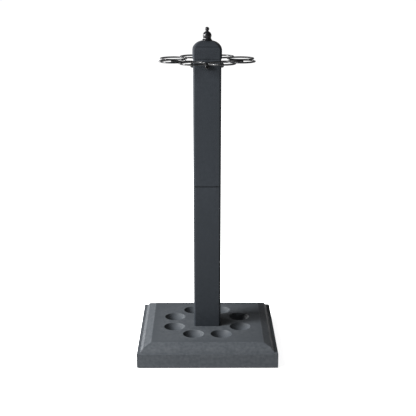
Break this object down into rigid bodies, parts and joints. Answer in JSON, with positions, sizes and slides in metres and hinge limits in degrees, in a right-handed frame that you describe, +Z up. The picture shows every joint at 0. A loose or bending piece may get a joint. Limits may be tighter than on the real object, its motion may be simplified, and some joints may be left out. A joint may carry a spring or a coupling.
{
  "type": "umbrella stand",
  "caption": "Square weighted base with round tip cups, a square post, a domed cap with a turned finial, and a flat collar of touching wire rings near the top.",
  "frame": {"origin": "centre of the footprint on the floor, under the feet", "axes": "+Z up along the post, +X and +Y square to the sides of the base"},
  "size_m": [0.33, 0.33, 0.7744],
  "materials": {
    "base_plastic": "fine matt texture",
    "ballast_iron": "as cast, oiled",
    "plate_paint": "black satin powder coat",
    "foot_rubber": "matt",
    "zinc_steel": "zinc plated",
    "post_paint": "charcoal satin powder coat",
    "plug_plastic": "matt moulded",
    "cap_plastic": "satin, matched to the post",
    "gloss_black": "gloss black enamel",
    "wire_enamel": "gloss black dipped enamel"
  },
  "bodies": {
    "root": {"base_shell": "base_plastic", "ballast_plate": "ballast_iron", "bottom_plate": "plate_paint", "foot_front_left": "foot_rubber", "foot_front_right": "foot_rubber", "foot_rear_left": "foot_rubber", "foot_rear_right": "foot_rubber", "foot_screws": "zinc_steel", "bottom_screws": "zinc_steel", "base_washer": "zinc_steel", "base_nut": "zinc_steel", "post_lower": "post_paint", "post_upper": "post_paint", "post_foot_plug": "plug_plastic", "post_coupler": "plug_plastic", "post_top_plug": "plug_plastic", "tie_rod_lower": "zinc_steel", "tie_rod_upper": "zinc_steel", "rod_coupling_nut": "zinc_steel", "post_cap": "cap_plastic", "finial_washer": "gloss_black", "finial": "gloss_black", "ring_welds": "wire_enamel", "rack_screws": "gloss_black", "rack_weld_nuts": "zinc_steel", "ring_1": "wire_enamel", "ring_2": "wire_enamel", "ring_3": "wire_enamel", "ring_4": "wire_enamel", "ring_5": "wire_enamel", "ring_6": "wire_enamel", "ring_7": "wire_enamel", "ring_8": "wire_enamel", "rack_bracket_front": "wire_enamel", "rack_bracket_right": "wire_enamel", "rack_bracket_rear": "wire_enamel", "rack_bracket_left": "wire_enamel"}
  },
  "joints": []
}
